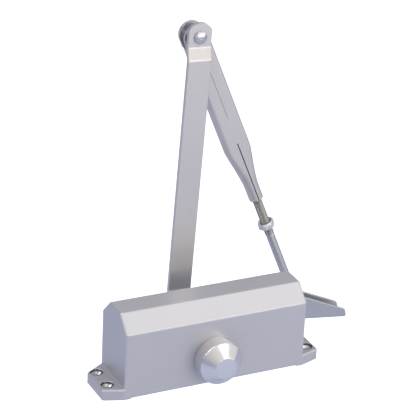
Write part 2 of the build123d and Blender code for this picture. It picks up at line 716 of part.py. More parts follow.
def shoe():
    """Folded channel: a base plate with two screw holes and two matching side walls."""
    half = SHOE_GAP / 2 + SHOE_SHEET
    low, high = FOREARM_MID_Y - half, FOREARM_MID_Y + half
    walls = across(shoe_wall_outline(), low, high)
    hollow = Box(BODY_LENGTH, SHOE_GAP, BODY_TOP, align=(Align.CENTER, Align.CENTER, Align.MIN))
    walls -= Pos(0, FOREARM_MID_Y, SHOE_SHEET - SHOE_BASE) * hollow
    base = Pos(SHOE_LEFT, FOREARM_MID_Y, -SHOE_BASE) * Box(
        SHOE_RIGHT - SHOE_LEFT, 2 * half, SHOE_SHEET, align=(Align.MIN, Align.CENTER, Align.MIN)
    )
    channel = walls + base
    folds = [
        edge
        for edge in channel.edges().filter_by(Axis.X)
        if edge.center().Z < SHOE_SHEET / 2 - SHOE_BASE and abs(edge.length - (SHOE_RIGHT - SHOE_LEFT)) < 1
    ]
    channel = fillet(folds, SHOE_FOLD)
    for x in SHOE_HOLES:
        channel -= Pos(x, FOREARM_MID_Y, -SHOE_BASE) * Cylinder(SHOE_HOLE_RADIUS, 3 * SHOE_SHEET)
    channel -= across(Circle(PIN_RADIUS), low, high)
    return SHOE_PLACE * channel


def shoe_pin():
    """Headed pin through both walls of the shoe."""
    half = SHOE_GAP / 2 + SHOE_SHEET
    low, high = FOREARM_MID_Y - half, FOREARM_MID_Y + half
    shank = across(Circle(PIN_RADIUS), low, high)
    near = across(Circle(PIN_HEAD_RADIUS), low - PIN_HEAD_HEIGHT, low)
    far = across(Circle(PIN_HEAD_RADIUS), high, high + PIN_HEAD_HEIGHT)
    return SHOE_PLACE * (shank + near + far)


def shoe_washers():
    """A thrust washer between each wall and the rod's eye."""
    ring = Circle(EYE_RADIUS - 1) - Circle(PIN_RADIUS)
    near, far = FOREARM_MID_Y - SHOE_GAP / 2, FOREARM_MID_Y + SHOE_GAP / 2
    pair = [across(ring, near, near + THRUST_WASHER), across(ring, far - THRUST_WASHER, far)]
    return SHOE_PLACE * Compound(children=pair)


FRONT, REAR = -1, 1
NODES = {
    "body_casting": body_casting,
    "front_bearing": lambda: bearing(FRONT),
    "rear_bearing": lambda: bearing(REAR),
    "front_retainer": lambda: retainer(FRONT),
    "rear_retainer": lambda: retainer(REAR),
    "front_shaft_seal": lambda: shaft_seal(FRONT),
    "rear_shaft_seal": lambda: shaft_seal(REAR),
    "pinion_shaft": pinion_shaft,
    "pinion_cap": pinion_cap,
    "piston": piston,
    "piston_seal": piston_seal,
    "check_valve_seat": check_seat,
    "check_valve_ball": check_ball,
    "closing_spring": closing_spring,
    "spring_seat": spring_seat,
    "end_plug": end_plug,
    "end_plug_ring": plug_ring,
    "closing_speed_valve": lambda: speed_valve(VALVE_Y),
    "latching_speed_valve": lambda: speed_valve(-VALVE_Y),
    "closing_valve_ring": lambda: valve_ring(VALVE_Y),
    "latching_valve_ring": lambda: valve_ring(-VALVE_Y),
    "main_arm": main_arm,
    "arm_washer": arm_washer,
    "arm_screw": arm_screw,
    "elbow_rivet": elbow_rivet,
    "elbow_bush": elbow_bush,
    "forearm": forearm,
    "forearm_spacer": forearm_spacer,
    "threaded_rod": threaded_rod,
    "lock_nut": lock_nut,
    "shoe": shoe,
    "shoe_pin": shoe_pin,
    "shoe_washers": shoe_washers,
}

os.makedirs("parts", exist_ok=True)
for name, build in NODES.items():
    export_step(build(), f"parts/{name}.step")
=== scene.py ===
import json
import math
import bmesh
import bpy
import numpy as np
from mathutils import Matrix, Quaternion, Vector

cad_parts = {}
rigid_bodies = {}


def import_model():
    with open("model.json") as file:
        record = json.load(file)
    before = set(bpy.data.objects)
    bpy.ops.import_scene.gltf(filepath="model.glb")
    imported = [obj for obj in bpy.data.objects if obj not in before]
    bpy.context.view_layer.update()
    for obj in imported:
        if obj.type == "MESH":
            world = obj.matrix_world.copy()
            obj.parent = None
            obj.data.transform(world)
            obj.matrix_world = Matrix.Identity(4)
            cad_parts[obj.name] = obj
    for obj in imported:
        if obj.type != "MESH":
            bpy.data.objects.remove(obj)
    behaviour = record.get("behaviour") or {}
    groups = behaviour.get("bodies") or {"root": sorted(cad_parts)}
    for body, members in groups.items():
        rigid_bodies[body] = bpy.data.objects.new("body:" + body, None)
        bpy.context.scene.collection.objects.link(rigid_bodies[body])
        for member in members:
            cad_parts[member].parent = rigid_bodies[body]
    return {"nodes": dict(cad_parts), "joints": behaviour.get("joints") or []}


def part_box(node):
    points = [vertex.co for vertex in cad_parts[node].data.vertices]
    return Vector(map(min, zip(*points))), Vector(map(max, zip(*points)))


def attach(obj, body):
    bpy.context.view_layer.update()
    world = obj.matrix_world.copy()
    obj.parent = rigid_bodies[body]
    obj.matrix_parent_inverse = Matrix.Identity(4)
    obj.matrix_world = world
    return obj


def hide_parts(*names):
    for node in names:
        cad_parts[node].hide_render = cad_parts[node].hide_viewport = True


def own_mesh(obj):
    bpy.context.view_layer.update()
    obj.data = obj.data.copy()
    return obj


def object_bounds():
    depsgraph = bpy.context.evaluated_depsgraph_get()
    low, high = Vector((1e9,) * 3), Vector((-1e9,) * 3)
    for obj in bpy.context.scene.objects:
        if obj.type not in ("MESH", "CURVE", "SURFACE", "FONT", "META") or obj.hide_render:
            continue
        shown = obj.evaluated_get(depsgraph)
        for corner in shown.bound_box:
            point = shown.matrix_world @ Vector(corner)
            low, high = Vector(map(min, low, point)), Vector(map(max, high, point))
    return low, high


for leftover in list(bpy.data.objects):
    bpy.data.objects.remove(leftover)
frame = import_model()
cad_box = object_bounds()
nodes = frame["nodes"]

# ---------------------------------------------------------------------------
# Body casting. An aluminium casting with chamfered long edges and a drilled ear at each end,
# fettled, then sprayed with satin silver paint that carries a fine metal flake.
# ---------------------------------------------------------------------------


def link(tree, source, target):
    tree.links.new(source, target)


def group_of(name, inputs, outputs):
    """Start a shader node group with named sockets; returns the tree and its two ends."""
    tree = bpy.data.node_groups.new(name, "ShaderNodeTree")
    for socket, kind, value in inputs:
        made = tree.interface.new_socket(name=socket, in_out="INPUT", socket_type=kind)
        made.default_value = value
    for socket, kind in outputs:
        tree.interface.new_socket(name=socket, in_out="OUTPUT", socket_type=kind)
    return tree, tree.nodes.new("NodeGroupInput"), tree.nodes.new("NodeGroupOutput")


def math_node(tree, operation, first, second):
    """One Math node whose two operands are sockets or plain numbers; returns its result."""
    node = tree.nodes.new("ShaderNodeMath")
    node.operation = operation
    for socket, value in zip(node.inputs, (first, second)):
        if isinstance(value, (int, float)):
            socket.default_value = value
        else:
            link(tree, value, socket)
    return node.outputs[0]


def vector_node(tree, operation, *operands):
    """One Vector Math node whose operands are sockets or plain triples; returns the node."""
    node = tree.nodes.new("ShaderNodeVectorMath")
    node.operation = operation
    for socket, value in zip(node.inputs, operands):
        if isinstance(value, tuple):
            socket.default_value = value
        else:
            link(tree, value, socket)
    return node


def scaled(tree, colour, factor):
    """A colour multiplied by a factor socket."""
    node = vector_node(tree, "SCALE", colour)
    link(tree, factor, node.inputs["Scale"])
    return node.outputs[0]


def distance_to_axis(tree, place, centre, keep):
    """Length of (place - centre) x keep: the distance from an axis, where keep is zero along it."""
    offset = vector_node(tree, "SUBTRACT", place, centre).outputs[0]
    flat = vector_node(tree, "MULTIPLY", offset, keep).outputs[0]
    return vector_node(tree, "LENGTH", flat).outputs["Value"]


def object_place(tree):
    """The point's place in Object coordinates."""
    return tree.nodes.new("ShaderNodeTexCoord").outputs["Object"]


def noise(tree, vector, scale, detail, roughness=0.5):
    """A Noise Texture read at the given position; returns its 0 to 1 value."""
    node = tree.nodes.new("ShaderNodeTexNoise")
    node.inputs["Detail"].default_value = detail
    node.inputs["Roughness"].default_value = roughness
    link(tree, vector, node.inputs["Vector"])
    if isinstance(scale, (int, float)):
        node.inputs["Scale"].default_value = scale
    else:
        link(tree, scale, node.inputs["Scale"])
    return node.outputs["Fac"]


FINISH_SOCKETS = [
    ("Colour", "NodeSocketColor"),
    ("Roughness", "NodeSocketFloat"),
    ("Height", "NodeSocketFloat"),
]


def make_flake_group():
    """Sprayed flake paint: colour = base x (1 + slow drift + flake sparkle), roughness = base +
    sparkle, and height = the fine orange peel of the sprayed coat.
    """
    tree, given, out = group_of(
        "flake_paint",
        [
            ("Base", "NodeSocketColor", (0.6, 0.6, 0.62, 1)),
            ("Drift", "NodeSocketFloat", 0.05),
            ("Flake", "NodeSocketFloat", 0.08),
            ("Roughness", "NodeSocketFloat", 0.4),
            ("Flake Scale", "NodeSocketFloat", 3500.0),
            ("Peel Scale", "NodeSocketFloat", 700.0),
        ],
        FINISH_SOCKETS,
    )
    place = object_place(tree)
    drift = math_node(tree, "SUBTRACT", noise(tree, place, 28.0, 3), 0.5)
    flake = math_node(tree, "SUBTRACT", noise(tree, place, given.outputs["Flake Scale"], 1), 0.5)
    lift = math_node(tree, "MULTIPLY", drift, given.outputs["Drift"])
    spark = math_node(tree, "MULTIPLY", flake, given.outputs["Flake"])
    factor = math_node(tree, "ADD", math_node(tree, "ADD", lift, spark), 1.0)
    link(tree, scaled(tree, given.outputs["Base"], factor), out.inputs["Colour"])
    rough = math_node(tree, "ADD", given.outputs["Roughness"], spark)
    link(tree, rough, out.inputs["Roughness"])
    link(tree, noise(tree, place, given.outputs["Peel Scale"], 2), out.inputs["Height"])
    return tree


flake_group = make_flake_group()


def new_material(name, metallic):
    """A material with an empty Principled shader; returns the material, its tree and the shader."""
    material = bpy.data.materials.new(name)
    material.use_nodes = True
    tree = material.node_tree
    shader = tree.nodes["Principled BSDF"]
    shader.inputs["Metallic"].default_value = metallic
    return material, tree, shader


def add_bump(tree, shader, height, distance, strength):
    """A Bump node from a height socket to the shader's normal; returns the node."""
    bump = tree.nodes.new("ShaderNodeBump")
    bump.inputs["Distance"].default_value = distance
    bump.inputs["Strength"].default_value = strength
    link(tree, height, bump.inputs["Height"])
    link(tree, bump.outputs["Normal"], shader.inputs["Normal"])
    return bump


def place_group(tree, group, **values):
    """Put a node group in a material's tree with its own values; returns the node."""
    node = tree.nodes.new("ShaderNodeGroup")
    node.node_tree = group
    for socket, value in values.items():
        node.inputs[socket.replace("_", " ")].default_value = value
    return node


def make_edge_group():
    """Painted edge highlight: mask = how far a softened normal turns from the true one, broken into
    patches.

    The soft normal is given out too, and rounds the edge.
    """
    tree, given, out = group_of(
        "painted_edge_highlight",
        [("Radius", "NodeSocketFloat", 0.0004), ("Gain", "NodeSocketFloat", 6.0)],
        [("Mask", "NodeSocketFloat"), ("Normal", "NodeSocketVector")],
    )
    soft = tree.nodes.new("ShaderNodeBevel")
    soft.samples = 6
    link(tree, given.outputs["Radius"], soft.inputs["Radius"])
    true = tree.nodes.new("ShaderNodeNewGeometry")
    agree = vector_node(tree, "DOT_PRODUCT", soft.outputs["Normal"], true.outputs["Normal"])
    turned_away = math_node(tree, "SUBTRACT", 1.0, agree.outputs["Value"])
    gained = tree.nodes.new("ShaderNodeClamp")
    gain = math_node(tree, "MULTIPLY", turned_away, given.outputs["Gain"])
    link(tree, gain, gained.inputs["Value"])
    patches = noise(tree, object_place(tree), 350.0, 3)
    kept = math_node(tree, "ADD", math_node(tree, "MULTIPLY", patches, 0.6), 0.5)
    link(tree, math_node(tree, "MULTIPLY", gained.outputs["Result"], kept), out.inputs["Mask"])
    link(tree, soft.outputs["Normal"], out.inputs["Normal"])
    return tree


edge_group = make_edge_group()


def blend(tree, kind, factor, first, second):
    """Mix two sockets or constants by a factor socket; returns the mixed socket."""
    node = tree.nodes.new("ShaderNodeMix")
    node.data_type = kind
    colour_ends = (node.inputs[6], node.inputs[7])
    ends = (node.inputs["A"], node.inputs["B"]) if kind == "FLOAT" else colour_ends
    link(tree, factor, node.inputs["Factor"])
    for socket, value in zip(ends, (first, second)):
        if isinstance(value, (int, float, tuple)):
            socket.default_value = value
        else:
            link(tree, value, socket)
    return node.outputs["Result"] if kind == "FLOAT" else node.outputs[2]


# Near-white colour painted along edges as a highlight by the edge mask; the edges are also made a
# little smoother.
EDGE_HIGHLIGHT_COLOUR = (0.92, 0.92, 0.92, 1)
EDGE_ROUGHNESS = 0.30


def silver_paint(name, base, metallic, roughness, flake, peel, peel_depth, edge, gain=6.0):
    """Flake paint, lightened towards near white along edges as a painted highlight, and smoother
    there.
    """
    material, tree, shader = new_material(name, metallic)
    paint = place_group(
        tree, flake_group, Base=(*base, 1), Roughness=roughness, Flake=flake, Peel_Scale=peel
    )
    edge_highlight = place_group(tree, edge_group, Radius=edge, Gain=gain)
    mask = edge_highlight.outputs["Mask"]
    # Painted highlight: the edge mask lightens the paint towards near white.
    colour = blend(tree, "RGBA", mask, paint.outputs["Colour"], EDGE_HIGHLIGHT_COLOUR)
    rough = blend(tree, "FLOAT", mask, paint.outputs["Roughness"], EDGE_ROUGHNESS)
    link(tree, colour, shader.inputs["Base Color"])
    link(tree, rough, shader.inputs["Roughness"])
    bump = add_bump(tree, shader, paint.outputs["Height"], peel_depth, 0.5)
    link(tree, edge_highlight.outputs["Normal"], bump.inputs["Normal"])
    return material


def dress(material, *names):
    """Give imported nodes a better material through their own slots."""
    for name in names:
        for slot in nodes[name].material_slots:
            slot.material = material


HOLE_ALONG = 0.078
HOLE_ACROSS = 0.0095
SEAT_RADIUS = 0.00465
SEAT_WALL = 0.95
SEAT_BARE = (0.66, 0.66, 0.66, 1)
SEAT_PAINTED_SHADE = (0.16, 0.16, 0.17, 1)
SEAT_ROUGHNESS = 0.24


def machine_seats(material):
    """Bare bright metal in the four drilled holes: metal where the nearest hole's axis is close,
    with the outer wall of each mouth painted dark as shade.

    The holes mirror each other, so one distance on the absolute place serves all four.
    """
    tree = material.node_tree
    shader = tree.nodes["Principled BSDF"]
    folded = vector_node(tree, "ABSOLUTE", object_place(tree)).outputs[0]
    distance = distance_to_axis(tree, folded, (HOLE_ALONG, HOLE_ACROSS, 0), (1, 1, 0))
    inside = math_node(tree, "LESS_THAN", distance, SEAT_RADIUS)
    # Painted shade: the outer wall of each hole's mouth is coloured dark.
    shaded_wall = math_node(tree, "GREATER_THAN", distance, SEAT_RADIUS * SEAT_WALL)
    bare = blend(tree, "RGBA", shaded_wall, SEAT_BARE, SEAT_PAINTED_SHADE)
    painted = shader.inputs["Base Color"].links[0].from_socket
    link(tree, blend(tree, "RGBA", inside, painted, bare), shader.inputs["Base Color"])
    coated = shader.inputs["Roughness"].links[0].from_socket
    link(tree, blend(tree, "FLOAT", inside, coated, SEAT_ROUGHNESS), shader.inputs["Roughness"])
    share = shader.inputs["Metallic"].default_value
    link(tree, blend(tree, "FLOAT", inside, share, 1.0), shader.inputs["Metallic"])


body_paint = silver_paint(
    "body_paint",
    base=(0.62, 0.62, 0.64),
    metallic=0.65,
    roughness=0.47,
    flake=0.10,
    peel=900.0,
    peel_depth=0.00004,
    edge=0.0016,
    gain=9.0,
)
machine_seats(body_paint)
dress(body_paint, "body_casting")

# ---------------------------------------------------------------------------
# Pinion cap. Turned aluminium: a straight rim, a wide cone and a small flat, pushed over the
# front retainer. The lathe tool leaves fine rings about the cap's own axis.
# ---------------------------------------------------------------------------


NEARLY_STRAIGHT = 1.56


def rounded(points, radii, steps=5):
    """Walk a polyline in two dimensions and swap each corner for an arc of its own radius."""
    points = [np.array(p, float) for p in points]
    path = [points[0]]
    for before, corner, after, radius in zip(points, points[1:], points[2:], radii):
        to_before = (before - corner) / np.linalg.norm(before - corner)
        to_after = (after - corner) / np.linalg.norm(after - corner)
        half = math.acos(float(np.clip(to_before @ to_after, -1, 1))) / 2
        if radius <= 0 or half > NEARLY_STRAIGHT:
            path.append(corner)
            continue
        reach = radius / math.tan(half)
        middle = (to_before + to_after) / np.linalg.norm(to_before + to_after)
        centre = corner + middle * radius / math.sin(half)
        start = corner + to_before * reach - centre
        end = corner + to_after * reach - centre
        for t in np.linspace(0, 1, steps):
            mixed = start * (1 - t) + end * t
            path.append(centre + mixed / np.linalg.norm(mixed) * radius)
    path.append(points[-1])
    return np.array(path)


def weave(name, points, wrap_rows=False, wrap_columns=True, sharp=40):
    """Quads between neighbouring rows and columns of a grid of points, poles welded shut."""
    rows, columns = points.shape[:2]
    index = np.arange(rows * columns).reshape(rows, columns)
    if wrap_rows:
        index = np.vstack([index, index[:1]])
    if wrap_columns:
        index = np.hstack([index, index[:, :1]])
    corners = [index[:-1, :-1], index[:-1, 1:], index[1:, 1:], index[1:, :-1]]
    quads = np.stack(corners, -1).reshape(-1, 4)
    mesh = bpy.data.meshes.new(name)
    mesh.from_pydata(points.reshape(-1, 3).tolist(), [], quads.tolist())
    shell = bmesh.new()
    shell.from_mesh(mesh)
    bmesh.ops.remove_doubles(shell, verts=shell.verts, dist=1e-7)
    bmesh.ops.recalc_face_normals(shell, faces=shell.faces)
    shell.to_mesh(mesh)
    shell.free()
    mesh.shade_smooth()
    mesh.set_sharp_from_angle(angle=math.radians(sharp))
    piece = bpy.data.objects.new(name, mesh)
    bpy.context.scene.collection.objects.link(piece)
    return piece


def frame_about(axis):
    """Two unit directions across an axis, with the axis itself, as rows."""
    axis = np.array(axis, float) / np.linalg.norm(axis)
    helper = np.array([0, 0, 1.0]) if abs(axis[2]) < 0.9 else np.array([1.0, 0, 0])
    first = np.cross(helper, axis)
    first /= np.linalg.norm(first)
    return np.array([first, np.cross(axis, first), axis])


def turned(name, profile, origin, axis, columns=96, closed=False, radius_at=None):
    """Carry a (radius, height) profile round an axis: origin + r cos a u + r sin a v + h axis."""
    angle = np.linspace(0, 2 * np.pi, columns, endpoint=False)
    radius, height = profile[:, :1], profile[:, 1:]
    radius = np.broadcast_to(radius, (len(profile), columns))
    if radius_at is not None:
        radius = np.minimum(radius, radius_at(angle)[None, :])
    height = np.broadcast_to(height, radius.shape)
    across, up, along = frame_about(axis)
    points = (
        np.array(origin)
        + (radius * np.cos(angle))[..., None] * across
        + (radius * np.sin(angle))[..., None] * up
        + height[..., None] * along
    )
    return weave(name, points, wrap_rows=closed)


def finish_piece(piece, body, slot, material, *replaced):
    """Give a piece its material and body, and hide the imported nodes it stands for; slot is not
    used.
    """
    piece.data.materials.append(material)
    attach(piece, body)
    if replaced:
        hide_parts(*replaced)
    return piece


def noise_along(tree, value):
    """One-dimensional noise of a single number: uneven rings instead of a regular wave."""
    node = tree.nodes.new("ShaderNodeTexNoise")
    node.noise_dimensions = "1D"
    node.inputs["Scale"].default_value = 1.0
    node.inputs["Detail"].default_value = 2.0
    link(tree, value, node.inputs["W"])
    return node.outputs["Fac"]


def make_turned_group():
    """Tool rings: one-dimensional noise of the distance from an axis, counted in tool pitches."""
    tree, given, out = group_of(
        "tool_rings",
        [
            ("Centre", "NodeSocketVector", (0, 0, 0)),
            ("Keep", "NodeSocketVector", (1, 0, 1)),
            ("Pitch", "NodeSocketFloat", 0.0004),
            ("Base", "NodeSocketColor", (0.8, 0.8, 0.8, 1)),
            ("Depth", "NodeSocketFloat", 0.1),
            ("Roughness", "NodeSocketFloat", 0.3),
        ],
        FINISH_SOCKETS,
    )
    place = object_place(tree)
    reach = distance_to_axis(tree, place, given.outputs["Centre"], given.outputs["Keep"])
    wobble = math_node(tree, "MULTIPLY", noise(tree, place, 60.0, 2), 0.0002)
    distance = math_node(tree, "ADD", reach, wobble)
    turns = math_node(tree, "DIVIDE", distance, given.outputs["Pitch"])
    ring = noise_along(tree, turns)
    centred = math_node(tree, "SUBTRACT", ring, 0.5)
    shade = math_node(tree, "MULTIPLY", centred, given.outputs["Depth"])
    factor = math_node(tree, "ADD", shade, 1.0)
    link(tree, scaled(tree, given.outputs["Base"], factor), out.inputs["Colour"])
    uneven = math_node(tree, "MULTIPLY", centred, 0.15)
    rough = math_node(tree, "ADD", given.outputs["Roughness"], uneven)
    link(tree, rough, out.inputs["Roughness"])
    link(tree, ring, out.inputs["Height"])
    return tree


tool_rings = make_turned_group()


def turned_metal(name, base, centre, keep, pitch, depth, roughness, ring_height):
    """Bare turned metal: colour, roughness and height all follow the tool rings."""
    material, tree, shader = new_material(name, 1.0)
    rings = place_group(
        tree,
        tool_rings,
        Base=(*base, 1),
        Centre=centre,
        Keep=keep,
        Pitch=pitch,
        Depth=depth,
        Roughness=roughness,
    )
    link(tree, rings.outputs["Colour"], shader.inputs["Base Color"])
    link(tree, rings.outputs["Roughness"], shader.inputs["Roughness"])
    add_bump(tree, shader, rings.outputs["Height"], ring_height, 1.0)
    return material


cap_low, cap_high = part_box("pinion_cap")
pinion_axis = Vector(((cap_low.x + cap_high.x) / 2, 0, (cap_low.z + cap_high.z) / 2))
CAP_RADIUS = (cap_high.x - cap_low.x) / 2
CAP_HEIGHT = cap_high.y - cap_low.y
CAP_RIM = 0.0107
CAP_TIP = 0.0080
CAP_WALL = 0.0135
CAP_HOLLOW = 0.0105
cap_profile = rounded(
    [
        (0, CAP_HEIGHT),
        (CAP_TIP, CAP_HEIGHT),
        (CAP_RADIUS, CAP_RIM),
        (CAP_RADIUS, 0),
        (CAP_WALL, 0),
        (CAP_WALL, CAP_HOLLOW),
        (0, CAP_HOLLOW),
    ],
    [0.0006, 0.0009, 0.0004, 0.0002, 0.0003],
)
cap_seat = (pinion_axis.x, cap_high.y, pinion_axis.z)
cap = turned("pinion_cover", cap_profile, cap_seat, (0, -1, 0), columns=160)
cap_metal = turned_metal(
    "turned_aluminium",
    base=(0.86, 0.86, 0.86),
    centre=tuple(pinion_axis),
    keep=(1, 0, 1),
    pitch=0.00035,
    depth=0.06,
    roughness=0.22,
    ring_height=0.000012,
)
finish_piece(cap, "casing", "turned_aluminium", cap_metal, "pinion_cap")

# ---------------------------------------------------------------------------
# Retainers, plug, washers and other small plated parts. Steel with bright zinc plating: a faint
# blue-grey bloom that varies from place to place, and fine grain.
# ---------------------------------------------------------------------------


def make_plating_group():
    """Plated steel: soft noise mixes two tones, and fine grain sets roughness and height."""
    tree, given, out = group_of(
        "plated_bloom",
        [
            ("Light", "NodeSocketColor", (0.7, 0.7, 0.7, 1)),
            ("Dark", "NodeSocketColor", (0.5, 0.5, 0.5, 1)),
            ("Roughness", "NodeSocketFloat", 0.35),
            ("Bloom Scale", "NodeSocketFloat", 180.0),
            ("Grain Scale", "NodeSocketFloat", 2600.0),
        ],
        FINISH_SOCKETS,
    )
    place = object_place(tree)
    mix = tree.nodes.new("ShaderNodeMix")
    mix.data_type = "RGBA"
    link(tree, noise(tree, place, given.outputs["Bloom Scale"], 4, 0.6), mix.inputs["Factor"])
    link(tree, given.outputs["Dark"], mix.inputs["A"])
    link(tree, given.outputs["Light"], mix.inputs["B"])
    link(tree, mix.outputs["Result"], out.inputs["Colour"])
    grain = noise(tree, place, given.outputs["Grain Scale"], 2)
    spread = math_node(tree, "MULTIPLY", math_node(tree, "SUBTRACT", grain, 0.5), 0.2)
    link(tree, math_node(tree, "ADD", given.outputs["Roughness"], spread), out.inputs["Roughness"])
    link(tree, grain, out.inputs["Height"])
    return tree


plated_bloom = make_plating_group()


GRAIN_HEIGHT = 0.00001


def plated_metal(name, light, dark, roughness, metallic=1.0, bloom=180.0, grain=2600.0):
    """Two tones mixed by a soft bloom, with fine grain in the roughness and height."""
    material, tree, shader = new_material(name, metallic)
    bloomed = place_group(
        tree,
        plated_bloom,
        Light=(*light, 1),
        Dark=(*dark, 1),
        Roughness=roughness,
        Bloom_Scale=bloom,
        Grain_Scale=grain,
    )
    link(tree, bloomed.outputs["Colour"], shader.inputs["Base Color"])
    link(tree, bloomed.outputs["Roughness"], shader.inputs["Roughness"])
    add_bump(tree, shader, bloomed.outputs["Height"], GRAIN_HEIGHT, 0.5)
    return material


zinc = plated_metal("zinc_plate", (0.70, 0.70, 0.71), (0.58, 0.58, 0.60), 0.32)
dress(zinc, "front_retainer", "rear_retainer", "end_plug", "spring_seat", "arm_washer")
dress(zinc, "forearm_spacer")

# ---------------------------------------------------------------------------
# Pinion shaft, bearings, piston and check valve. Hardened and ground steel, left bare and wet
# with oil, so darker and smoother than the plated parts.
# ---------------------------------------------------------------------------

ground_steel = plated_metal(
    "ground_steel", (0.52, 0.52, 0.53), (0.42, 0.42, 0.43), 0.24, bloom=90.0, grain=5200.0
)
dress(ground_steel, "pinion_shaft", "piston", "front_bearing", "rear_bearing")
dress(ground_steel, "check_valve_seat", "check_valve_ball")

# ---------------------------------------------------------------------------
# Closing spring. Round spring wire coiled cold and tempered dark. It stands between the piston
# and the seat at the plug.
# ---------------------------------------------------------------------------

spring_steel = plated_metal(
    "spring_steel", (0.20, 0.20, 0.21), (0.13, 0.13, 0.14), 0.38, bloom=240.0
)
spring_low, spring_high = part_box("closing_spring")
SPRING_WIRE = 0.0016
SPRING_TURNS = 4.5


def coiled(name, low, high, wire, turns, rings=300, sides=16):
    """A wire circle swept along a helix about X, whose angle grows evenly with the distance."""
    radius = (high.z - low.z) / 2 - wire
    share = np.linspace(0, 1, rings)[:, None]
    turn = 2 * np.pi * turns * share
    length = high.x - low.x - 2 * wire
    zero = np.zeros_like(turn)
    outward = np.concatenate((zero, np.cos(turn), np.sin(turn)), axis=1)
    axis_z = (low.z + high.z) / 2
    path = radius * outward
    path += np.concatenate((low.x + wire + length * share, zero, zero + axis_z), axis=1)
    pitch = length / (2 * np.pi * turns)
    forward = np.concatenate((zero + pitch, -radius * np.sin(turn), radius * np.cos(turn)), axis=1)
    forward /= np.linalg.norm(forward, axis=1, keepdims=True)
    sideways = np.cross(forward, outward)
    around = np.linspace(0, 2 * np.pi, sides, endpoint=False)[None, :, None]
    ring = np.cos(around) * outward[:, None] + np.sin(around) * sideways[:, None]
    tube = path[:, None] + wire * ring
    first, last = (np.repeat(path[end][None, None], sides, axis=1) for end in (0, -1))
    return weave(name, np.concatenate((first, tube, last)))


spring = coiled("spring_coils", spring_low, spring_high, SPRING_WIRE, SPRING_TURNS)
finish_piece(spring, "casing", "spring_steel", spring_steel, "closing_spring")
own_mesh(spring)

# ---------------------------------------------------------------------------
# Seals and rings. Black nitrile rubber, moulded, matt with a fine bloom.
# ---------------------------------------------------------------------------

rubber = plated_metal(
    "nitrile", (0.035, 0.035, 0.037), (0.020, 0.020, 0.021), 0.62, metallic=0.0, bloom=400.0
)
dress(
    rubber,
    "front_shaft_seal",
    "rear_shaft_seal",
    "piston_seal",
    "end_plug_ring",
    "closing_valve_ring",
    "latching_valve_ring",
)

# ---------------------------------------------------------------------------
# Speed valves. Turned brass needles with a slotted head, set just inside the right end face.
# ---------------------------------------------------------------------------

brass = plated_metal("valve_brass", (0.78, 0.60, 0.30), (0.66, 0.48, 0.22), 0.30, bloom=300.0)
dress(brass, "closing_speed_valve", "latching_speed_valve")

# ---------------------------------------------------------------------------
# Main arm and forearm. A flat steel bar, cranked at the pinion and set back at the elbow, and a
# folded sheet drawn down to a tube. Painted like the body, in a brighter and thinner coat.
# ---------------------------------------------------------------------------

arm_paint = silver_paint(
    "arm_paint",
    base=(0.69, 0.668, 0.648),
    metallic=0.7,
    roughness=0.40,
    flake=0.08,
    peel=1100.0,
    peel_depth=0.00003,
    edge=0.0004,
)
dress(arm_paint, "main_arm", "forearm")

# ---------------------------------------------------------------------------
# Elbow rivet. Steel, with a domed head that has a small centre mark, and a formed tail.
# ---------------------------------------------------------------------------

rivet_low, rivet_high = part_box("elbow_rivet")
elbow_axis = Vector(((rivet_low.x + rivet_high.x) / 2, 0, (rivet_low.z + rivet_high.z) / 2))
RIVET_HEAD = (rivet_high.x - rivet_low.x) / 2
RIVET_LENGTH = rivet_high.y - rivet_low.y
RIVET_DOME = 0.0020
RIVET_RISE = 0.0010
RIVET_SHANK = 0.0035
RIVET_TAIL = 0.0015
MARK_RADIUS = 0.0009
MARK_DEPTH = 0.0005
dome_out = np.linspace(MARK_RADIUS, RIVET_HEAD * 0.98, 12)
dome_drop = RIVET_RISE * (dome_out / RIVET_HEAD) ** 2
head_face = list(zip(dome_out, dome_drop))
rivet_profile = rounded(
    [(0, MARK_DEPTH), (MARK_RADIUS * 0.4, MARK_DEPTH * 0.8)]
    + head_face
    + [
        (RIVET_HEAD, RIVET_DOME),
        (RIVET_SHANK, RIVET_DOME),
        (RIVET_SHANK, RIVET_LENGTH - RIVET_TAIL),
        (RIVET_HEAD, RIVET_LENGTH - RIVET_TAIL),
        (RIVET_HEAD, RIVET_LENGTH),
        (0, RIVET_LENGTH),
    ],
    [0.0001] * (len(head_face) + 1) + [0.0002, 0.0, 0.0, 0.0002, 0.0005],
    steps=3,
)
rivet_foot = (elbow_axis.x, rivet_low.y, elbow_axis.z)
rivet = turned("rivet", rivet_profile, rivet_foot, (0, 1, 0), columns=72)
finish_piece(rivet, "arm", "plated_steel", zinc, "elbow_rivet")

# ---------------------------------------------------------------------------
# Bush and thrust washers. Dark nylon, moulded.
# ---------------------------------------------------------------------------

nylon = plated_metal(
    "nylon", (0.10, 0.10, 0.11), (0.06, 0.06, 0.07), 0.5, metallic=0.0, bloom=250.0
)
dress(nylon, "elbow_bush", "shoe_washers")

# ---------------------------------------------------------------------------
# Arm screw. Hexagon steel screw, its head's corners turned off at 30 degrees.
# ---------------------------------------------------------------------------


def hexagon(apothem):
    """Distance from a hexagon's middle to its side: apothem / cos(angle to the side's normal)."""

    def radius(angle):
        return apothem / np.cos((angle + np.pi / 6) % (np.pi / 3) - np.pi / 6)

    return radius


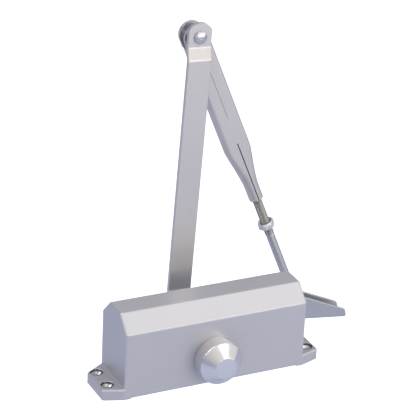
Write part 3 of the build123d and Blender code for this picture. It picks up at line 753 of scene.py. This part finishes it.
screw_low, screw_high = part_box("arm_screw")
SCREW_FLATS = 0.0100
SCREW_SHANK = 0.0030
screw_corner = SCREW_FLATS / math.sqrt(3)
head_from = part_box("arm_washer")[1].y
screw_profile = np.array(
    [
        (0, screw_low.y),
        (SCREW_SHANK * 0.8, screw_low.y),
        (SCREW_SHANK, screw_low.y + 0.0006),
        (SCREW_SHANK, head_from),
        (SCREW_FLATS * 0.47, head_from),
        (SCREW_FLATS * 0.48, head_from + 0.0003),
        (screw_corner, head_from + 0.0003),
        (screw_corner, screw_high.y - 0.0007),
        (SCREW_FLATS * 0.47, screw_high.y),
        (SCREW_FLATS * 0.30, screw_high.y - 0.0001),
        (0, screw_high.y - 0.0001),
    ]
)
screw_sides = hexagon(SCREW_FLATS / 2)
screw_foot = (pinion_axis.x, 0, pinion_axis.z)
screw = turned("hexagon_screw", screw_profile, screw_foot, (0, 1, 0), 144, radius_at=screw_sides)
finish_piece(screw, "arm", "plated_steel", zinc, "arm_screw")

# ---------------------------------------------------------------------------
# Adjusting rod. Drawn steel: the upper length has a rolled thread, then a plain shank, and the
# lower end is forged to an eye for the shoe's pin. Dull zinc plating.
# ---------------------------------------------------------------------------

joints = {joint["name"]: joint for joint in frame["joints"]}
slide = np.array(joints["rod_adjust"]["axis"], float)
pin_place = np.array(joints["shoe_turn"]["pos_m"], float)
rod_low, rod_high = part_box("threaded_rod")
ROD_PITCH = 0.001
ROD_CREST = 0.00340
ROD_ROOT = 0.00285
ROD_SHANK = 0.00320
ROD_TOP = 0.128
ROD_THREAD = 0.061
ROD_OVERLAP = 0.001
STEPS_PER_TURN = 8
EYE_RADIUS = 0.0066
EYE_HOLE = 0.00305
eye_width = rod_high.y - rod_low.y


def thread(name, crest, root, pitch, start, length, origin, axis, columns=40):
    """Triangular thread: radius = root + depth x triangle wave of (height / pitch - turns)."""
    angle = np.linspace(0, 2 * np.pi, columns, endpoint=False)[None, :]
    height = np.arange(0, length, pitch / STEPS_PER_TURN)[:, None]
    phase = (height / pitch - angle / (2 * np.pi)) % 1
    wave = 1 - np.abs(2 * phase - 1)
    fade = np.clip(np.minimum(height, length - height) / pitch, 0, 1)
    radius = root + (crest - root) * wave * fade
    across, up, along = frame_about(axis)
    points = (
        np.array(origin)
        + (radius * np.cos(angle))[..., None] * across
        + (radius * np.sin(angle))[..., None] * up
        + ((start + height) * np.ones_like(angle))[..., None] * along
    )
    first = np.broadcast_to(np.array(origin) + start * along, (1, columns, 3))
    last = np.broadcast_to(np.array(origin) + (start + length) * along, (1, columns, 3))
    return weave(name, np.concatenate([first, points, last]), sharp=80)


rod_thread = thread(
    "rod_thread", ROD_CREST, ROD_ROOT, ROD_PITCH, -ROD_TOP, ROD_THREAD, pin_place, slide
)
shank_from = ROD_THREAD - ROD_TOP - ROD_OVERLAP
shank_profile = rounded(
    [(0, shank_from), (ROD_SHANK, shank_from), (ROD_SHANK, -EYE_HOLE), (0, -EYE_HOLE)],
    [0.0006, 0.0],
)
rod_shank = turned("rod_shank", shank_profile, pin_place, slide, columns=48)
eye_profile = rounded(
    [
        (EYE_HOLE, 0),
        (EYE_HOLE, -eye_width / 2),
        (EYE_RADIUS, -eye_width / 2),
        (EYE_RADIUS, eye_width / 2),
        (EYE_HOLE, eye_width / 2),
        (EYE_HOLE, 0.0001),
    ],
    [0.0003, 0.0012, 0.0012, 0.0003],
)
rod_eye = turned("rod_eye", eye_profile, pin_place, (0, 1, 0), columns=72, closed=True)
rod_steel = plated_metal("rod_zinc", (0.68, 0.68, 0.68), (0.56, 0.56, 0.56), 0.42, bloom=320.0)
# Painted shade: the thread has a darker base than the shank, standing in for the shade in its
# grooves.
shaded_thread_steel = plated_metal(
    "shaded_thread_steel", (0.50, 0.49, 0.47), (0.32, 0.31, 0.29), 0.46, bloom=320.0
)
finish_piece(rod_thread, "rod", "rod_steel", shaded_thread_steel, "threaded_rod")
for rod_piece in (rod_shank, rod_eye):
    finish_piece(rod_piece, "rod", "rod_steel", rod_steel, "threaded_rod")

# ---------------------------------------------------------------------------
# Lock nut. Hexagon steel nut, both faces chamfered, with a threaded hole drawn as a plain bore.
# ---------------------------------------------------------------------------

nut_low, nut_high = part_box("lock_nut")
nut_middle = np.array((nut_low + nut_high) / 2)
NUT_FLATS = 0.0110
NUT_HEIGHT = 0.0052
NUT_HOLE = 0.00345
NUT_FACE = 0.0052
nut_corner = NUT_FLATS / math.sqrt(3)
nut_profile = np.array(
    [
        (NUT_HOLE, 0),
        (NUT_HOLE, -NUT_HEIGHT / 2 + 0.0005),
        (NUT_HOLE + 0.0006, -NUT_HEIGHT / 2),
        (NUT_FACE, -NUT_HEIGHT / 2),
        (nut_corner, -NUT_HEIGHT / 2 + 0.0007),
        (nut_corner, NUT_HEIGHT / 2 - 0.0007),
        (NUT_FACE, NUT_HEIGHT / 2),
        (NUT_HOLE + 0.0006, NUT_HEIGHT / 2),
        (NUT_HOLE, NUT_HEIGHT / 2 - 0.0005),
        (NUT_HOLE, 0.0001),
    ]
)
nut_sides = hexagon(NUT_FLATS / 2)
nut = turned("hexagon_nut", nut_profile, nut_middle, slide, 144, True, nut_sides)
nut_zinc = plated_metal("nut_zinc", (0.82, 0.82, 0.82), (0.70, 0.70, 0.71), 0.40, metallic=0.7)
finish_piece(nut, "nut", "plated_steel", nut_zinc, "lock_nut")

# ---------------------------------------------------------------------------
# Shoe. Folded steel channel with two screw holes, painted a darker, bluer silver than the body.
# ---------------------------------------------------------------------------

shoe_paint = silver_paint(
    "shoe_paint",
    base=(0.52, 0.53, 0.57),
    metallic=0.7,
    roughness=0.40,
    flake=0.08,
    peel=1100.0,
    peel_depth=0.00003,
    edge=0.0009,
    gain=12.0,
)
dress(shoe_paint, "shoe")

# ---------------------------------------------------------------------------
# Shoe pin. Plain steel pin, both ends formed to a low dome.
# ---------------------------------------------------------------------------

pin_low, pin_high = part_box("shoe_pin")
PIN_HEAD = (pin_high.x - pin_low.x) / 2
PIN_SHANK = 0.0030
PIN_CAP = 0.0012
pin_length = pin_high.y - pin_low.y
pin_profile = rounded(
    [
        (0, 0),
        (PIN_HEAD * 0.7, 0.0002),
        (PIN_HEAD, PIN_CAP * 0.7),
        (PIN_HEAD, PIN_CAP),
        (PIN_SHANK, PIN_CAP),
        (PIN_SHANK, pin_length - PIN_CAP),
        (PIN_HEAD, pin_length - PIN_CAP),
        (PIN_HEAD, pin_length - PIN_CAP * 0.7),
        (PIN_HEAD * 0.7, pin_length - 0.0002),
        (0, pin_length),
    ],
    [0.002, 0.0005, 0.0001, 0.0, 0.0, 0.0001, 0.0005, 0.002],
)
pin_foot = (pin_place[0], pin_low.y, pin_place[2])
pin = turned("pivot_pin", pin_profile, pin_foot, (0, 1, 0), columns=64)
finish_piece(pin, "shoe", "plated_steel", zinc, "shoe_pin")

# ---------------------------------------------------------------------------
# Studio. A plain pale floor far enough down for the arm to swing over it, a soft box high in
# front, a level one, a narrow strip at the back left, and a surround that is pale in front and
# cooler and dimmer behind and to the left.
# ---------------------------------------------------------------------------

FLOOR_SIZE = 12.0
FLOOR_DROP = 0.12
FLOOR_GLOW = 0.85
PALE_SIDE = (0.55, -0.70, 0.46)
PALE_SPREAD = 0.9
DIM_TONE = (0.08, 0.09, 0.20, 1)
PALE_TONE = (0.78, 0.755, 0.745, 1)
floor_z = cad_box[0].z - FLOOR_DROP
floor = weave(
    "floor",
    np.array(
        [
            [(-FLOOR_SIZE, -FLOOR_SIZE, floor_z), (FLOOR_SIZE, -FLOOR_SIZE, floor_z)],
            [(-FLOOR_SIZE, FLOOR_SIZE, floor_z), (FLOOR_SIZE, FLOOR_SIZE, floor_z)],
        ]
    ),
    wrap_columns=False,
)
floor_paint = plated_metal(
    "floor_paint", (0.56, 0.61, 0.77), (0.54, 0.59, 0.75), 0.8, metallic=0.0, bloom=3.0
)
floor_tree = floor_paint.node_tree
floor_shader = floor_tree.nodes["Principled BSDF"]
seen = floor_tree.nodes.new("ShaderNodeLightPath")
glow = math_node(floor_tree, "MULTIPLY", seen.outputs["Is Camera Ray"], FLOOR_GLOW)
link(floor_tree, glow, floor_shader.inputs["Emission Strength"])
floor_shader.inputs["Emission Color"].default_value = (1, 1, 1, 1)
floor.data.materials.append(floor_paint)

world = bpy.data.worlds.new("studio")
world.use_nodes = True
bpy.context.scene.world = world
sky = world.node_tree
background = sky.nodes["Background"]
direction = sky.nodes.new("ShaderNodeTexCoord").outputs["Generated"]
facing = vector_node(sky, "DOT_PRODUCT", direction, PALE_SIDE)
spread = sky.nodes.new("ShaderNodeMapRange")
spread.interpolation_type = "SMOOTHSTEP"
spread.inputs["From Min"].default_value = -PALE_SPREAD
spread.inputs["From Max"].default_value = PALE_SPREAD
link(sky, facing.outputs["Value"], spread.inputs["Value"])
tone = blend(sky, "RGBA", spread.outputs["Result"], DIM_TONE, PALE_TONE)
link(sky, tone, background.inputs["Color"])
background.inputs["Strength"].default_value = 1.0
bpy.context.scene.view_settings.view_transform = "Standard"
bpy.context.scene.cycles.caustics_reflective = False

AIM = Vector((0.01237, 0.02485, 0.11187))


def soft_box(name, away, distance, width, height, power, colour, aim, along=None):
    """A rectangular lamp some distance away from its aim and facing it, its width laid along."""
    light = bpy.data.lights.new(name, "AREA")
    light.shape = "RECTANGLE"
    light.size = width
    light.size_y = height
    light.energy = power
    light.color = colour
    lamp = bpy.data.objects.new(name, light)
    lamp.visible_camera = False
    away = Vector(away).normalized()
    across = Vector(along if along else (away.y, -away.x, 0))
    across = (across - away * across.dot(away)).normalized()
    turn = Matrix((across, away.cross(across), away)).transposed().to_4x4()
    lamp.matrix_world = Matrix.Translation(aim + away * distance) @ turn
    bpy.context.scene.collection.objects.link(lamp)


ELBOW = Vector((elbow_axis.x, 0.045, elbow_axis.z))
WHITE = (1, 1, 1)
WARM = (1.0, 0.95, 0.90)
soft_box("high_box", (0.41, -0.46, 0.79), 1.2, 0.85, 0.7, 1.85, WHITE, AIM)
soft_box("level_box", (0.42, -0.90, -0.02), 1.0, 0.9, 0.22, 2.1, WARM, ELBOW)
soft_box("rim_strip", (-0.70, 0.15, 0.70), 0.8, 1.2, 0.08, 3.0, WHITE, AIM, along=(0.7, 0, 0.7))

VIEW_AZIMUTH = -26.97
VIEW_ELEVATION = 24.79
VIEW_ROLL = 2.87
VIEW_DISTANCE = 1.4862
LENS = 181.47
camera_data = bpy.data.cameras.new("camera")
camera_data.lens = LENS
camera_data.clip_end = 50
camera = bpy.data.objects.new("camera", camera_data)
azimuth, elevation = math.radians(VIEW_AZIMUTH), math.radians(VIEW_ELEVATION)
level = math.cos(elevation)
away = Vector((math.sin(azimuth) * level, -math.cos(azimuth) * level, math.sin(elevation)))
camera.location = AIM + away * VIEW_DISTANCE
turn = (-away).to_track_quat("-Z", "Y")
camera.rotation_mode = "QUATERNION"
camera.rotation_quaternion = turn @ Quaternion((0, 0, 1), math.radians(VIEW_ROLL))
bpy.context.scene.collection.objects.link(camera)
bpy.context.scene.camera = camera
